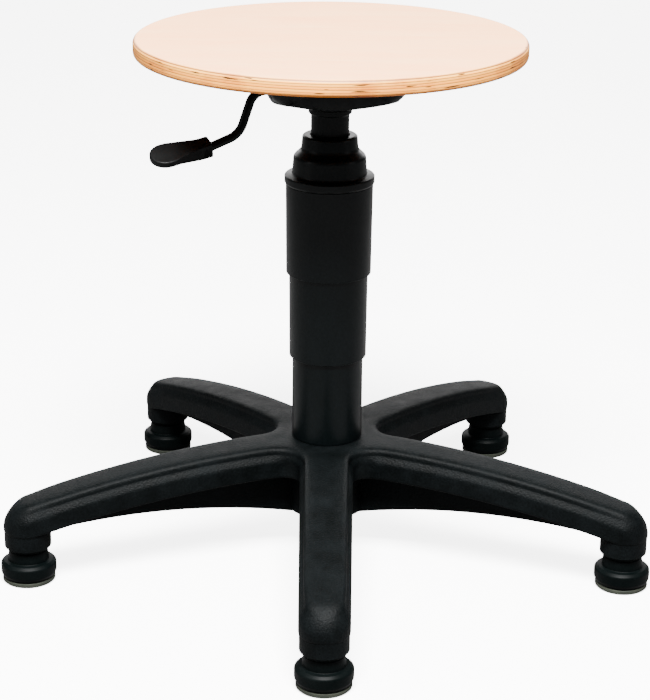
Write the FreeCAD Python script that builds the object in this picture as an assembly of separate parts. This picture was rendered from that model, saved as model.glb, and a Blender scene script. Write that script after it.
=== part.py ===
import FreeCAD, Part
import math
import os

# Height-adjustable workshop stool, in millimetres, +Z up.
# The origin is on the floor, on the column's axis. The front arm of the base points along -Y.

# Seat
seat_diameter = 350.0
seat_thickness = 15.0
seat_height = 488.2
seat_edge_round = 4.0

# Height adjustment, counted from the drawn height
raise_travel = 12.0
lower_travel = 118.0

# Clearances
press_gap = 0.02
running_gap = 0.06
seating_gap = 0.3
sleeve_gap = 0.35

# Seat plate: a flanged pan with a coned floor and four corner lugs
plate_turn = 9.3
plate_thickness = 2.5
flange_side = 180.0
flange_corner = 30.0
pan_side = 116.0
pan_corner = 22.0
pan_draft = 3.0
pan_depth = 45.7
pan_cone_angle = 15.5
lug_distance = 61.0
lug_radius = 19.0
lug_depth = 33.7
screw_spacing = 150.0
screw_diameter = 5.0
screw_head_diameter = 11.0
screw_head_height = 3.2
screw_depth = 11.0
screw_tip_gap = 0.5
screw_slot = (1.2, 1.6)

# Taper socket under the plate
neck_diameter = 34.5
neck_length = 30.5
socket_rise = 7.0
collar_diameter = 39.0
collar_height = 5.5
collar_chamfer = 1.3

# Gas spring
cylinder_diameter = 28.0
cylinder_wall = 1.5
taper_inset = 2.0
taper_length = 34.0
taper_drop = 0.7
valve_body_length = 12.0
button_diameter = 8.0
rod_guide_length = 10.0
rod_diameter = 10.0
rod_foot_diameter = 8.0
piston_length = 14.0
seal_width = 3.0
seal_depth = 1.5
cover_ring_diameter = 42.0
cover_ring_height = 2.8

# Lever
lever_azimuth = 205.0
lever_rise = 20.5
lever_rod_diameter = 8.0
lever_inner_reach = 5.0
lever_pivot_distance = 30.0
lever_lift_angle = 5.0
lever_pin_diameter = 4.0
lever_upper_bend = 74.4
lever_upper_radius = 15.0
lever_lower_bend = (88.0, -36.9)
lever_lower_radius = 20.0
lever_grip_entry = (115.5, -45.9)
bracket_ear_thickness = 2.5
bracket_ear_width = 12.0
bracket_ear_drop = 4.0
lever_window_width = 16.0
lever_window_height = 16.0
grip_length = 56.5
grip_root_width = 14.5
grip_root_thickness = 13.5
grip_root_length = 11.0
grip_tongue_width = 28.5
grip_tongue_thickness = 5.4
grip_droop = 10.5
grip_roll = -21.0
grip_lift = 1.0
grip_edge_round = 1.6
grip_socket_depth = 10.0

# Telescopic cover
sleeve_wall = 2.0
sleeve_catch = 0.4
sleeve_catch_height = 2.0
upper_sleeve_diameters = (77.9, 79.4)
upper_sleeve_length = 84.0
upper_sleeve_overlap = 14.7
middle_sleeve_diameters = (71.3, 72.6)
lower_sleeve_diameter = 65.4
lower_sleeve_length = 95.1
lower_sleeve_overlap = 15.1
cap_wall = 2.4
cap_height = 40.4
cap_overlap = 1.5
cap_neck_gap = 0.7
cap_step_diameters = (49.6, 51.7, 63.5, 69.2)
cap_step_drops = (11.0, 16.6, 31.0)
cap_lip_diameter = 80.2
cap_lip_height = 5.5
cap_spigot_depth = 6.0

# Stand tube and the bearing at its foot
tube_diameter = 50.0
tube_wall = 2.0
tube_bottom_height = 34.0
tube_top_height = 246.0
tube_taper_drop = 1.4
tube_plate_thickness = 3.0
bush_length = 82.0
bush_flange = 1.5
race_thickness = 2.5
race_diameters = (14.0, 28.0)
ball_diameter = 4.0
ball_count = 9
cage_thickness = 1.4
washer_thickness = 1.2
washer_diameter = 20.0
clip_thickness = 1.0
clip_diameter = 12.0
rod_foot_reach = 2.5
buffer_diameter = 30.0
buffer_height = 15.58

# Five-star base
arm_count = 5
front_arm_angle = -90.0
foot_circle_radius = 286.6
hub_top_height = 110.6
hub_bottom_height = 38.0
hub_diameter = 72.0
arm_knee_radius = 200.0
arm_knee_length = 9.6
arm_drop_radius = 1075.0
arm_nose_radius = 20.0
crown_width = 36.8
crown_depth = 9.5
crown_corner_radius = 25.5
crown_round = 4.5
recess_inset = 2.0
recess_depth = 13.0
flange_width = 43.6
flange_depth = 29.5
flange_corner_radius = 15.5
flange_top_round = 4.0
arm_wall = 4.0
arm_roof = 6.5
web_thickness = 7.0
web_bottom_points = ((41.0, 38.4), (165.0, 52.6), (265.0, 46.7))
cross_rib_count = 4
cross_rib_thickness = 2.5
cross_rib_rise = 5.0
socket_step = 0.5
socket_top_round = 6.0
socket_shoulder_height = 60.0
socket_chamfer_height = 37.5
socket_bottom_height = 31.3
socket_bottom_diameter = 37.0

# Glides
glide_names = ("front", "right", "back_right", "back_left", "left")
stem_diameter = 11.0
stem_top_height = 56.0
stem_groove_depth = 1.0
stem_seat_height = 12.0
grip_ring_height = 4.0
grip_ring_bottom = 49.0
glide_neck_diameters = (35.3, 37.0)
glide_neck_height = 24.0
glide_shoulder_diameter = 45.0
glide_shoulder_height = 20.0
glide_diameter = 50.6
glide_waist_heights = (13.0, 9.5)
glide_bottom_height = 4.6
glide_groove_diameter = 46.0
pad_diameter = 48.0
pad_height = 4.3
pad_chamfer = 1.2

# Heights from the seat down
seat_bottom_height = seat_height - seat_thickness
flange_bottom_height = seat_bottom_height - plate_thickness
pan_floor_height = flange_bottom_height - pan_depth
lug_bottom_height = flange_bottom_height - lug_depth
lever_height = pan_floor_height + lever_rise
button_top = lever_height - lever_rod_diameter / 2 - seating_gap
neck_bottom_height = pan_floor_height - neck_length
socket_top_height = pan_floor_height + socket_rise
cylinder_top_height = socket_top_height - taper_inset
cap_top_height = neck_bottom_height + cap_overlap
cap_bottom_height = cap_top_height - cap_height
upper_sleeve_top = cap_bottom_height - seating_gap
upper_sleeve_bottom = upper_sleeve_top - upper_sleeve_length
middle_sleeve_top = upper_sleeve_bottom + upper_sleeve_overlap

# Heights from the base up. The stack at the stand tube's foot goes from its clip up to the buffer
lower_sleeve_bottom = hub_top_height + seating_gap
lower_sleeve_top = lower_sleeve_bottom + lower_sleeve_length
middle_sleeve_bottom = lower_sleeve_top - lower_sleeve_overlap
washer_bottom = tube_bottom_height - seating_gap - washer_thickness
clip_bottom = washer_bottom - clip_thickness
tube_plate_top = tube_bottom_height + tube_plate_thickness
lower_race_top = tube_plate_top + race_thickness
ball_height = lower_race_top + running_gap + ball_diameter / 2
upper_race_bottom = ball_height + ball_diameter / 2 + running_gap
upper_race_top = upper_race_bottom + race_thickness
buffer_top = upper_race_top + buffer_height
cylinder_bottom_height = buffer_top + seating_gap + lower_travel
piston_bottom = cylinder_bottom_height + rod_guide_length + raise_travel + seating_gap

# Places and bores that several pieces share
cylinder_bore = cylinder_diameter - 2 * cylinder_wall
arm_angles = [front_arm_angle + 360.0 / arm_count * index for index in range(arm_count)]
half_corner = math.radians(180.0 / arm_count)
arm_start = (crown_width / 2 + crown_corner_radius) / math.tan(half_corner)
arm_end = foot_circle_radius + flange_width / 2 + 0.1
up = FreeCAD.Vector(0, 0, 1)
origin = FreeCAD.Vector(0, 0, 0)


def tube(outer, inner, bottom, top):
    """A round piece with a bore, given by its diameters and heights."""
    body = Part.makeCylinder(outer / 2, top - bottom, FreeCAD.Vector(0, 0, bottom))
    if inner > 0:
        body = body.cut(Part.makeCylinder(inner / 2, top - bottom + 2, FreeCAD.Vector(0, 0, bottom - 1)))
    return body


def rounded_wire(corners, place):
    """A closed outline through corners (a, b, radius), each corner rounded by its own radius."""
    points = [FreeCAD.Vector(a, b, 0) for a, b, radius in corners]
    edges = []
    ends = []
    for index, (a, b, radius) in enumerate(corners):
        here = points[index]
        back = (points[index - 1] - here).normalize()
        ahead = (points[(index + 1) % len(points)] - here).normalize()
        if radius <= 0:
            ends.append((here, None, here))
            continue
        half = back.getAngle(ahead) / 2
        reach = radius / math.tan(half)
        middle = (back + ahead).normalize() * (radius / math.sin(half) - radius)
        ends.append((here + back * reach, here + middle, here + ahead * reach))
    for index, (start, middle, end) in enumerate(ends):
        if middle is not None:
            edges.append(Part.Arc(place(start), place(middle), place(end)).toShape())
        following = ends[(index + 1) % len(ends)][0]
        if end.distanceToPoint(following) > 1e-6:
            edges.append(Part.LineSegment(place(end), place(following)).toShape())
    return Part.Wire(edges)


def in_section(point):
    """Radius and height, in the plane that is turned about the column's axis."""
    return FreeCAD.Vector(point.x, 0, point.y)


def in_plan(point):
    return FreeCAD.Vector(point.x, point.y, 0)


def turned(corners):
    """A solid of revolution from corners (radius, height, rounding)."""
    return Part.Face(rounded_wire(corners, in_section)).revolve(origin, up, 360)


def plate(corners, bottom, top):
    """A flat piece from corners (x, y, rounding)."""
    face = Part.Face(rounded_wire(corners, in_plan))
    face.translate(FreeCAD.Vector(0, 0, bottom))
    return face.extrude(FreeCAD.Vector(0, 0, top - bottom))


def square(side, rounding):
    half = side / 2
    return [(half, half, rounding), (-half, half, rounding), (-half, -half, rounding), (half, -half, rounding)]


def about_axis(shape, angle):
    copy = shape.copy()
    copy.rotate(origin, up, angle)
    return copy


def round_about(shape):
    """The five copies of a shape, one on each arm."""
    return [about_axis(shape, angle) for angle in arm_angles]


def fused(shapes):
    return shapes[0].multiFuse(shapes[1:]).removeSplitter()


def save(name, shape):
    if shape.ShapeType == "Compound" and len(shape.Solids) == 1:
        shape = shape.Solids[0]
    print(name, len(shape.Solids), shape.isValid(), round(shape.Volume, 1))
    shape.exportStep("parts/" + name + ".step")


# Seat

def screw_places():
    half = screw_spacing / 2
    corners = [(half, half), (-half, half), (-half, -half), (half, -half)]
    turn = FreeCAD.Rotation(up, plate_turn)
    return [turn.multVec(FreeCAD.Vector(x, y, 0)) for x, y in corners]


def seat_disc():
    radius = seat_diameter / 2
    disc = turned([
        (0, seat_bottom_height, 0),
        (radius, seat_bottom_height, seat_edge_round),
        (radius, seat_height, seat_edge_round),
        (0, seat_height, 0),
    ])
    for place in screw_places():
        foot = FreeCAD.Vector(place.x, place.y, seat_bottom_height)
        disc = disc.cut(Part.makeCylinder(screw_diameter / 2 + press_gap, screw_depth + screw_tip_gap, foot))
    return disc


def seat_screws():
    screws = []
    for place in screw_places():
        foot = FreeCAD.Vector(place.x, place.y, flange_bottom_height - screw_head_height)
        length = screw_head_height + plate_thickness + screw_depth
        shank = Part.makeCylinder(screw_diameter / 2, length, foot)
        head = Part.makeCylinder(screw_head_diameter / 2, screw_head_height, foot)
        head = head.makeFillet(screw_head_height * 0.45, [head.Edges[2]])
        width, depth = screw_slot
        drive = Part.makeBox(screw_head_diameter / 2, width, depth)
        drive.translate(foot + FreeCAD.Vector(-screw_head_diameter / 4, -width / 2, 0))
        cross = drive.copy()
        cross.rotate(foot, up, 90)
        screws.append(head.fuse(shank).cut(drive).cut(cross).removeSplitter())
    return Part.makeCompound(screws)


# Seat plate

def pan_block(inset, top):
    """The pan's outer form, drawn in by inset on every side."""
    side = pan_side - 2 * inset
    floor = pan_floor_height + inset / math.cos(math.radians(pan_cone_angle))
    slope = math.tan(math.radians(pan_cone_angle))
    reach = pan_side
    rise = slope * (reach - collar_diameter / 2)
    above_cone = turned([
        (0, floor, 0),
        (collar_diameter / 2, floor, 0),
        (reach, floor + rise, 0),
        (reach, top, 0),
        (0, top, 0),
    ])
    depth = top - pan_floor_height
    shrink = 2 * pan_draft * depth / (flange_bottom_height - pan_floor_height)
    low = rounded_wire(square(side - shrink, pan_corner - inset), in_plan)
    low.translate(FreeCAD.Vector(0, 0, pan_floor_height))
    high = rounded_wire(square(side, pan_corner - inset), in_plan)
    high.translate(FreeCAD.Vector(0, 0, top))
    walls = Part.makeLoft([low, high], True, True)
    block = walls.common(above_cone)
    for corner in range(4):
        direction = math.radians(45 + 90 * corner)
        centre = FreeCAD.Vector(
            lug_distance * math.cos(direction),
            lug_distance * math.sin(direction),
            lug_bottom_height + lug_radius,
        )
        ball = Part.makeSphere(lug_radius - inset, centre)
        block = block.fuse(ball)
    keep = Part.makeBox(flange_side, flange_side, top, FreeCAD.Vector(-flange_side / 2, -flange_side / 2, 0))
    return block.common(keep).removeSplitter()


def lever_frame(distance, sideways, height):
    """A point given along the lever, across it and up."""
    turn = FreeCAD.Rotation(up, lever_azimuth)
    return turn.multVec(FreeCAD.Vector(distance, sideways, height))


def lever_box(near, far, width, bottom, top):
    box = Part.makeBox(far - near, width, top - bottom, FreeCAD.Vector(near, -width / 2, bottom))
    return about_axis(box, lever_azimuth)


def seat_plate():
    flange = plate(square(flange_side, flange_corner), flange_bottom_height, seat_bottom_height)
    outer = pan_block(0, seat_bottom_height)
    inner = pan_block(plate_thickness, seat_bottom_height + 1)
    shell = flange.fuse(outer).cut(inner)
    shell = about_axis(shell, plate_turn)
    hole = tube(neck_diameter + 2 * press_gap, 0, pan_floor_height - 5, pan_floor_height + 20)
    shell = shell.cut(hole)
    for place in screw_places():
        foot = FreeCAD.Vector(place.x, place.y, flange_bottom_height - 1)
        shell = shell.cut(Part.makeCylinder(screw_diameter / 2 + press_gap, plate_thickness + 2, foot))
    window = lever_box(
        pan_side / 2 - 12,
        pan_side / 2 + 20,
        lever_window_width,
        lever_height - lever_window_height / 2 + 1,
        lever_height + lever_window_height / 2 + 1,
    )
    return shell.cut(window).removeSplitter()


def taper_bore(clearance):
    """The space of the cylinder's tapered head, widened by a clearance."""
    radius = cylinder_diameter / 2 + clearance
    start = cylinder_top_height - taper_length
    return turned([
        (0, neck_bottom_height - 5, 0),
        (radius, neck_bottom_height - 5, 0),
        (radius, start, 0),
        (radius - taper_drop, cylinder_top_height, 0),
        (radius - taper_drop, socket_top_height + 5, 0),
        (0, socket_top_height + 5, 0),
    ])


def taper_socket():
    neck = tube(neck_diameter, 0, neck_bottom_height, socket_top_height)
    top = pan_floor_height
    radius = collar_diameter / 2
    collar = turned([
        (0, top - collar_height, 0),
        (radius - collar_chamfer, top - collar_height, 0),
        (radius, top - collar_height + collar_chamfer, 0),
        (radius, top, 0.6),
        (0, top, 0),
    ])
    return neck.fuse(collar).cut(taper_bore(press_gap)).removeSplitter()


# Lever

def lever_drop(distance):
    """How far the lever's inner end falls at this distance when it is lifted fully."""
    return (lever_pivot_distance - distance) * math.tan(math.radians(lever_lift_angle))


def lever_bracket():
    inner = neck_diameter / 2 + press_gap
    gap = lever_rod_diameter + 2 * seating_gap
    width = gap + 2 * bracket_ear_thickness
    low = lever_height - lever_rod_diameter / 2 - bracket_ear_drop
    far = lever_pivot_distance + bracket_ear_width / 2
    high = lever_height + bracket_ear_width / 2
    ears = lever_box(inner - 2, far, width, low, high).cut(lever_box(inner - 3, far + 1, gap, low - 1, high + 1))
    back_top = lever_height - lever_rod_diameter / 2 - lever_drop(0)
    back = lever_box(inner - 2, inner + bracket_ear_thickness, width, socket_top_height - 3, back_top)
    body = ears.fuse(back).cut(tube(2 * inner, 0, socket_top_height - 20, high + 10))
    return body.cut(lever_cross(lever_pin_diameter + 2 * press_gap, width + 2)).removeSplitter()


def lever_cross(diameter, length):
    """A round bar across the lever at its pivot."""
    start = lever_frame(lever_pivot_distance, -length / 2, lever_height)
    end = lever_frame(lever_pivot_distance, length / 2, lever_height)
    return Part.makeCylinder(diameter / 2, length, start, end - start)


def lever_pin():
    width = lever_rod_diameter + 2 * seating_gap + 2 * bracket_ear_thickness
    return lever_cross(lever_pin_diameter, width + 1)


def lever_rod():
    corners = [(-lever_inner_reach, 0), (lever_upper_bend, 0), lever_lower_bend, lever_grip_entry]
    points = [FreeCAD.Vector(a, 0, lever_height + b) for a, b in corners]
    inside = (points[3] - points[2]).normalize() * (grip_socket_depth - seating_gap)
    points[3] = points[3] + inside
    edges = []
    start = points[0]
    for index, radius in ((1, lever_upper_radius), (2, lever_lower_radius)):
        here = points[index]
        back = (points[index - 1] - here).normalize()
        ahead = (points[index + 1] - here).normalize()
        half = back.getAngle(ahead) / 2
        reach = radius / math.tan(half)
        middle = here + (back + ahead).normalize() * (radius / math.sin(half) - radius)
        edges.append(Part.LineSegment(start, here + back * reach).toShape())
        edges.append(Part.Arc(here + back * reach, middle, here + ahead * reach).toShape())
        start = here + ahead * reach
    edges.append(Part.LineSegment(start, points[3]).toShape())
    path = Part.Wire(edges)
    circle = Part.makeCircle(lever_rod_diameter / 2, points[0], FreeCAD.Vector(1, 0, 0))
    rod = path.makePipeShell([Part.Wire(circle)], True, False)
    rod = about_axis(rod, lever_azimuth)
    return rod.cut(lever_cross(lever_pin_diameter + 2 * running_gap, lever_rod_diameter * 2))


def grip_place(shape):
    """Turns the grip from its own frame (length along X, top up) to its place on the rod."""
    shape.rotate(origin, FreeCAD.Vector(1, 0, 0), grip_roll)
    shape.rotate(origin, FreeCAD.Vector(0, 1, 0), grip_droop)
    shape.translate(FreeCAD.Vector(lever_grip_entry[0], 0, lever_height + lever_grip_entry[1] + grip_lift))
    return about_axis(shape, lever_azimuth)


def lever_grip():
    root = grip_root_width / 2
    tongue = grip_tongue_width / 2
    middle = grip_length - tongue
    top = grip_root_thickness / 2
    paddle = plate([
        (0, -root, 2),
        (grip_root_length, -root, 14),
        (middle - 4, -tongue, 10),
        (grip_length, -tongue, tongue - 0.2),
        (grip_length, tongue, tongue - 0.2),
        (middle - 4, tongue, 10),
        (grip_root_length, root, 14),
        (0, root, 2),
    ], -top, top)
    side = Part.Face(rounded_wire([
        (-1, -top, 0),
        (grip_root_length, -top, 12),
        (middle - 6, top - grip_tongue_thickness, 25),
        (grip_length + 1, top - grip_tongue_thickness, 0),
        (grip_length + 1, top, 0),
        (-1, top, 0),
    ], in_section))
    side.translate(FreeCAD.Vector(0, -tongue - 1, 0))
    grip = paddle.common(side.extrude(FreeCAD.Vector(0, grip_tongue_width + 2, 0)))
    top_edges = [edge for edge in grip.Edges if abs(edge.CenterOfMass.z - top) < 0.01]
    grip = grip_place(grip.makeFillet(grip_edge_round, top_edges))
    start = lever_frame(lever_grip_entry[0], 0, lever_height + lever_grip_entry[1])
    bend = lever_frame(lever_lower_bend[0], 0, lever_height + lever_lower_bend[1])
    direction = (start - bend).normalize()
    mouth = start - direction * 4
    bore = Part.makeCylinder(lever_rod_diameter / 2 + press_gap, grip_socket_depth + 4, mouth, direction)
    return grip.cut(bore)


# Gas spring

def gas_cylinder():
    radius = cylinder_diameter / 2
    start = cylinder_top_height - taper_length
    body = turned([
        (0, cylinder_bottom_height, 0),
        (radius, cylinder_bottom_height, 1),
        (radius, start, 0),
        (radius - taper_drop, cylinder_top_height, 0.6),
        (0, cylinder_top_height, 0),
    ])
    return body.cut(tube(cylinder_bore, 0, cylinder_bottom_height - 1, cylinder_top_height + 1))


def valve_body():
    bottom = cylinder_top_height - valve_body_length
    return tube(cylinder_bore - 2 * press_gap, button_diameter + 2 * running_gap, bottom, cylinder_top_height)


def valve_button():
    radius = button_diameter / 2
    return turned([
        (0, cylinder_top_height - valve_body_length + 1, 0),
        (radius, cylinder_top_height - valve_body_length + 1, 0.5),
        (radius, button_top, 1.2),
        (0, button_top, 0),
    ])


def rod_guide():
    top = cylinder_bottom_height + rod_guide_length
    return tube(cylinder_bore - 2 * press_gap, rod_diameter + 2 * running_gap, cylinder_bottom_height, top)


def piston():
    outer = cylinder_bore / 2 - running_gap
    bottom = piston_bottom
    top = bottom + piston_length
    low = bottom + (piston_length - seal_width) / 2
    return turned([
        (rod_diameter / 2 + press_gap, bottom, 0),
        (outer, bottom, 0.5),
        (outer, low, 0),
        (outer - seal_depth, low, 0),
        (outer - seal_depth, low + seal_width, 0),
        (outer, low + seal_width, 0),
        (outer, top, 0.5),
        (rod_diameter / 2 + press_gap, top, 0),
    ])


def piston_seal():
    outer = cylinder_bore - 2 * running_gap
    inner = outer - 2 * seal_depth + 2 * press_gap
    low = piston_bottom + (piston_length - seal_width) / 2 + press_gap
    return tube(outer, inner, low, low + seal_width - 2 * press_gap)


def piston_rod():
    foot = clip_bottom - rod_foot_reach
    groove = rod_foot_diameter / 2 - 0.9
    radius = rod_diameter / 2
    top = piston_bottom + piston_length + 2
    return turned([
        (0, foot, 0),
        (rod_foot_diameter / 2, foot, 0.8),
        (rod_foot_diameter / 2, clip_bottom - press_gap, 0),
        (groove, clip_bottom - press_gap, 0),
        (groove, washer_bottom, 0),
        (rod_foot_diameter / 2, washer_bottom, 0),
        (rod_foot_diameter / 2, upper_race_top, 0),
        (radius, upper_race_top, 0),
        (radius, top, 1.5),
        (0, top, 0),
    ])


def rod_clip():
    inner = rod_foot_diameter - 1.8 + 2 * press_gap
    ring = tube(clip_diameter, inner, clip_bottom, washer_bottom - press_gap)
    mouth = Part.makeBox(clip_diameter, inner * 0.8, clip_thickness + 2)
    mouth.translate(FreeCAD.Vector(0, -inner * 0.4, clip_bottom - 1))
    return ring.cut(mouth)


def rod_washer():
    inner = rod_foot_diameter + 2 * press_gap
    return tube(washer_diameter, inner, washer_bottom, washer_bottom + washer_thickness)


def lower_race():
    return tube(race_diameters[1], race_diameters[0] - 3, tube_plate_top, lower_race_top)


def upper_race():
    return tube(race_diameters[1], rod_foot_diameter + 2 * press_gap, upper_race_bottom, upper_race_top)


def ball_places():
    pitch = (race_diameters[0] + race_diameters[1]) / 4
    places = []
    for index in range(ball_count):
        angle = 2 * math.pi * index / ball_count
        places.append(FreeCAD.Vector(pitch * math.cos(angle), pitch * math.sin(angle), ball_height))
    return places


def bearing_balls():
    return Part.makeCompound([Part.makeSphere(ball_diameter / 2, place) for place in ball_places()])


def bearing_cage():
    low = ball_height - cage_thickness / 2
    ring = tube(race_diameters[1] - 1, race_diameters[0] - 1, low, low + cage_thickness)
    for place in ball_places():
        foot = FreeCAD.Vector(place.x, place.y, low - 1)
        ring = ring.cut(Part.makeCylinder(ball_diameter / 2 + running_gap, cage_thickness + 2, foot))
    return ring


def rubber_buffer():
    inner = rod_diameter / 2 + press_gap
    radius = buffer_diameter / 2
    waist = (upper_race_top + buffer_top) / 2
    return turned([
        (inner, upper_race_top, 0),
        (radius, upper_race_top, 1),
        (radius - 2.5, waist, 4),
        (radius, buffer_top, 1.5),
        (inner, buffer_top, 0),
    ])


# Stand tube

def tube_space(clearance):
    """The stand tube's outer form: tapered where it sits in the hub, straight above."""
    radius = tube_diameter / 2 + clearance
    return [
        (radius - tube_taper_drop, tube_bottom_height, 0),
        (radius, hub_top_height, 0),
        (radius, tube_top_height, 0),
    ]


def stand_tube():
    body = turned([(0, tube_bottom_height, 0)] + tube_space(0) + [(0, tube_top_height, 0)])
    inner = tube_diameter - 2 * tube_wall - 2 * tube_taper_drop
    body = body.cut(tube(inner, 0, tube_plate_top, hub_top_height + 1))
    body = body.cut(tube(tube_diameter - 2 * tube_wall, 0, hub_top_height, tube_top_height + 1))
    return body.cut(tube(rod_foot_diameter + 1, 0, tube_bottom_height - 1, tube_plate_top + 1))


def guide_bush():
    outer = tube_diameter - 2 * tube_wall - 2 * press_gap
    inner = cylinder_diameter + 2 * running_gap
    body = tube(outer, 0, tube_top_height - bush_length, tube_top_height)
    head = tube(tube_diameter, 0, tube_top_height, tube_top_height + bush_flange)
    return body.fuse(head).cut(tube(inner, 0, 0, tube_top_height + 10)).removeSplitter()


# Telescopic cover

def sleeve(diameters, heights, catch_in, catch_out, floor):
    """A drafted sleeve. catch_in and catch_out are the lips at its foot and its top."""
    bottom, top = heights
    low, high = diameters[0] / 2, diameters[1] / 2
    rise = sleeve_catch_height
    inner_low, inner_high = low - sleeve_wall, high - sleeve_wall
    corners = [(low, bottom, 0.5)]
    if catch_out:
        corners += [(high, top - 2 * rise, 0), (high + sleeve_catch, top - rise, 0)]
        corners += [(high + sleeve_catch, top, 0)]
    else:
        corners += [(high, top, 0.5)]
    corners += [(inner_high, top, 0)]
    if catch_in:
        corners += [(inner_low, bottom + 2 * rise, 0), (inner_low - sleeve_catch, bottom + rise, 0)]
        corners += [(inner_low - sleeve_catch, bottom, 0)]
    elif floor > 0:
        corners += [(inner_low, bottom + sleeve_wall, 0), (floor, bottom + sleeve_wall, 0), (floor, bottom, 0)]
    else:
        corners += [(inner_low, bottom, 0)]
    return turned(corners)


def sleeve_upper():
    return sleeve(upper_sleeve_diameters, (upper_sleeve_bottom, upper_sleeve_top), True, False, 0)


def sleeve_middle():
    return sleeve(middle_sleeve_diameters, (middle_sleeve_bottom, middle_sleeve_top), True, True, 0)


def sleeve_lower():
    diameters = (lower_sleeve_diameter, lower_sleeve_diameter)
    heights = (lower_sleeve_bottom, lower_sleeve_top)
    return sleeve(diameters, heights, False, True, tube_diameter / 2 + seating_gap)


def sleeve_cap():
    hole = neck_diameter / 2 + cap_neck_gap
    step = [diameter / 2 for diameter in cap_step_diameters]
    lip = cap_lip_diameter / 2
    lip_top = cap_bottom_height + cap_lip_height
    spigot = upper_sleeve_diameters[1] / 2 - sleeve_wall - sleeve_gap
    wall = cap_wall
    first, second, third = (cap_top_height - drop for drop in cap_step_drops)
    return turned([
        (hole, cap_top_height, 0.5),
        (step[0], cap_top_height, 2.4),
        (step[1], first, 3.0),
        (step[2], second, 3.5),
        (step[3], third, 1.2),
        (lip - 1.2, lip_top, 1.0),
        (lip, lip_top - 2.4, 1.0),
        (lip, cap_bottom_height, 0.8),
        (spigot, cap_bottom_height, 0),
        (spigot, cap_bottom_height - cap_spigot_depth, 0),
        (spigot - wall, cap_bottom_height - cap_spigot_depth, 0),
        (spigot - wall, lip_top - wall, 0),
        (step[3] - wall, third - wall, 0),
        (step[2] - wall, second - wall, 1.0),
        (step[1] - wall, first - wall, 1.0),
        (step[0] - wall, cap_top_height - wall, 0),
        (hole, cap_top_height - wall, 0),
    ])


def cover_ring():
    top = cap_top_height - cap_wall - seating_gap
    inner = cylinder_diameter + 2 * press_gap
    return tube(cover_ring_diameter, inner, top - cover_ring_height, top)


# Five-star base

def on_arc(centre, radius, lean):
    """A point of an arc in an arm's side view, by its lean from straight up."""
    return centre + FreeCAD.Vector(math.sin(lean), 0, math.cos(lean)) * radius


def crown_arcs(with_nose):
    """The arcs of the crown along an arm: centre, radius and the leans where each starts and ends."""
    knee_lean = math.asin(arm_knee_length / arm_knee_radius)
    knee_centre = FreeCAD.Vector(arm_start, 0, hub_top_height - arm_knee_radius)
    drop_centre = on_arc(knee_centre, arm_knee_radius - arm_drop_radius, knee_lean)
    arcs = [(knee_centre, arm_knee_radius, 0, knee_lean)]
    if with_nose:
        inner_radius = arm_drop_radius - arm_nose_radius
        nose_lean = math.asin((arm_end - arm_nose_radius - drop_centre.x) / inner_radius)
        nose_centre = on_arc(drop_centre, inner_radius, nose_lean)
        arcs.append((drop_centre, arm_drop_radius, knee_lean, nose_lean))
        arcs.append((nose_centre, arm_nose_radius, nose_lean, math.pi / 2))
    else:
        far_lean = math.asin((arm_end + arm_nose_radius - drop_centre.x) / arm_drop_radius)
        arcs.append((drop_centre, arm_drop_radius, knee_lean, far_lean))
    return arcs


def arm_top(distance):
    """Height of the crown at a distance from the column's axis, beyond its flat part."""
    for centre, radius, first, last in crown_arcs(False):
        if distance <= centre.x + radius * math.sin(last):
            return centre.z + math.sqrt(radius ** 2 - (distance - centre.x) ** 2)


def under_arm(width, drop, with_nose):
    """Everything under one arm's crown, lowered by drop. The nose rounds the arm's end down."""
    start = FreeCAD.Vector(0, 0, hub_top_height)
    here = FreeCAD.Vector(arm_start, 0, hub_top_height)
    edges = [Part.LineSegment(start, here).toShape()]
    for centre, radius, first, last in crown_arcs(with_nose):
        middle = on_arc(centre, radius, (first + last) / 2)
        following = on_arc(centre, radius, last)
        edges.append(Part.Arc(here, middle, following).toShape())
        here = following
    foot = FreeCAD.Vector(here.x, 0, 0)
    for first, last in ((here, foot), (foot, origin), (origin, start)):
        edges.append(Part.LineSegment(first, last).toShape())
    side = Part.Face(Part.Wire(edges))
    side.translate(FreeCAD.Vector(0, -width / 2, -drop))
    return side.extrude(FreeCAD.Vector(0, width, 0))


def under_crown(width, drop, with_nose):
    """Everything under the whole crown: the five arms and the flat part about the hub."""
    reach = arm_start / math.cos(half_corner)
    corners = []
    for angle in arm_angles:
        turn = math.radians(angle) + half_corner
        corners.append((reach * math.cos(turn), reach * math.sin(turn), 0))
    middle = plate(corners, -drop, hub_top_height - drop)
    return fused([middle] + round_about(under_arm(width, drop, with_nose)))


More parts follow.
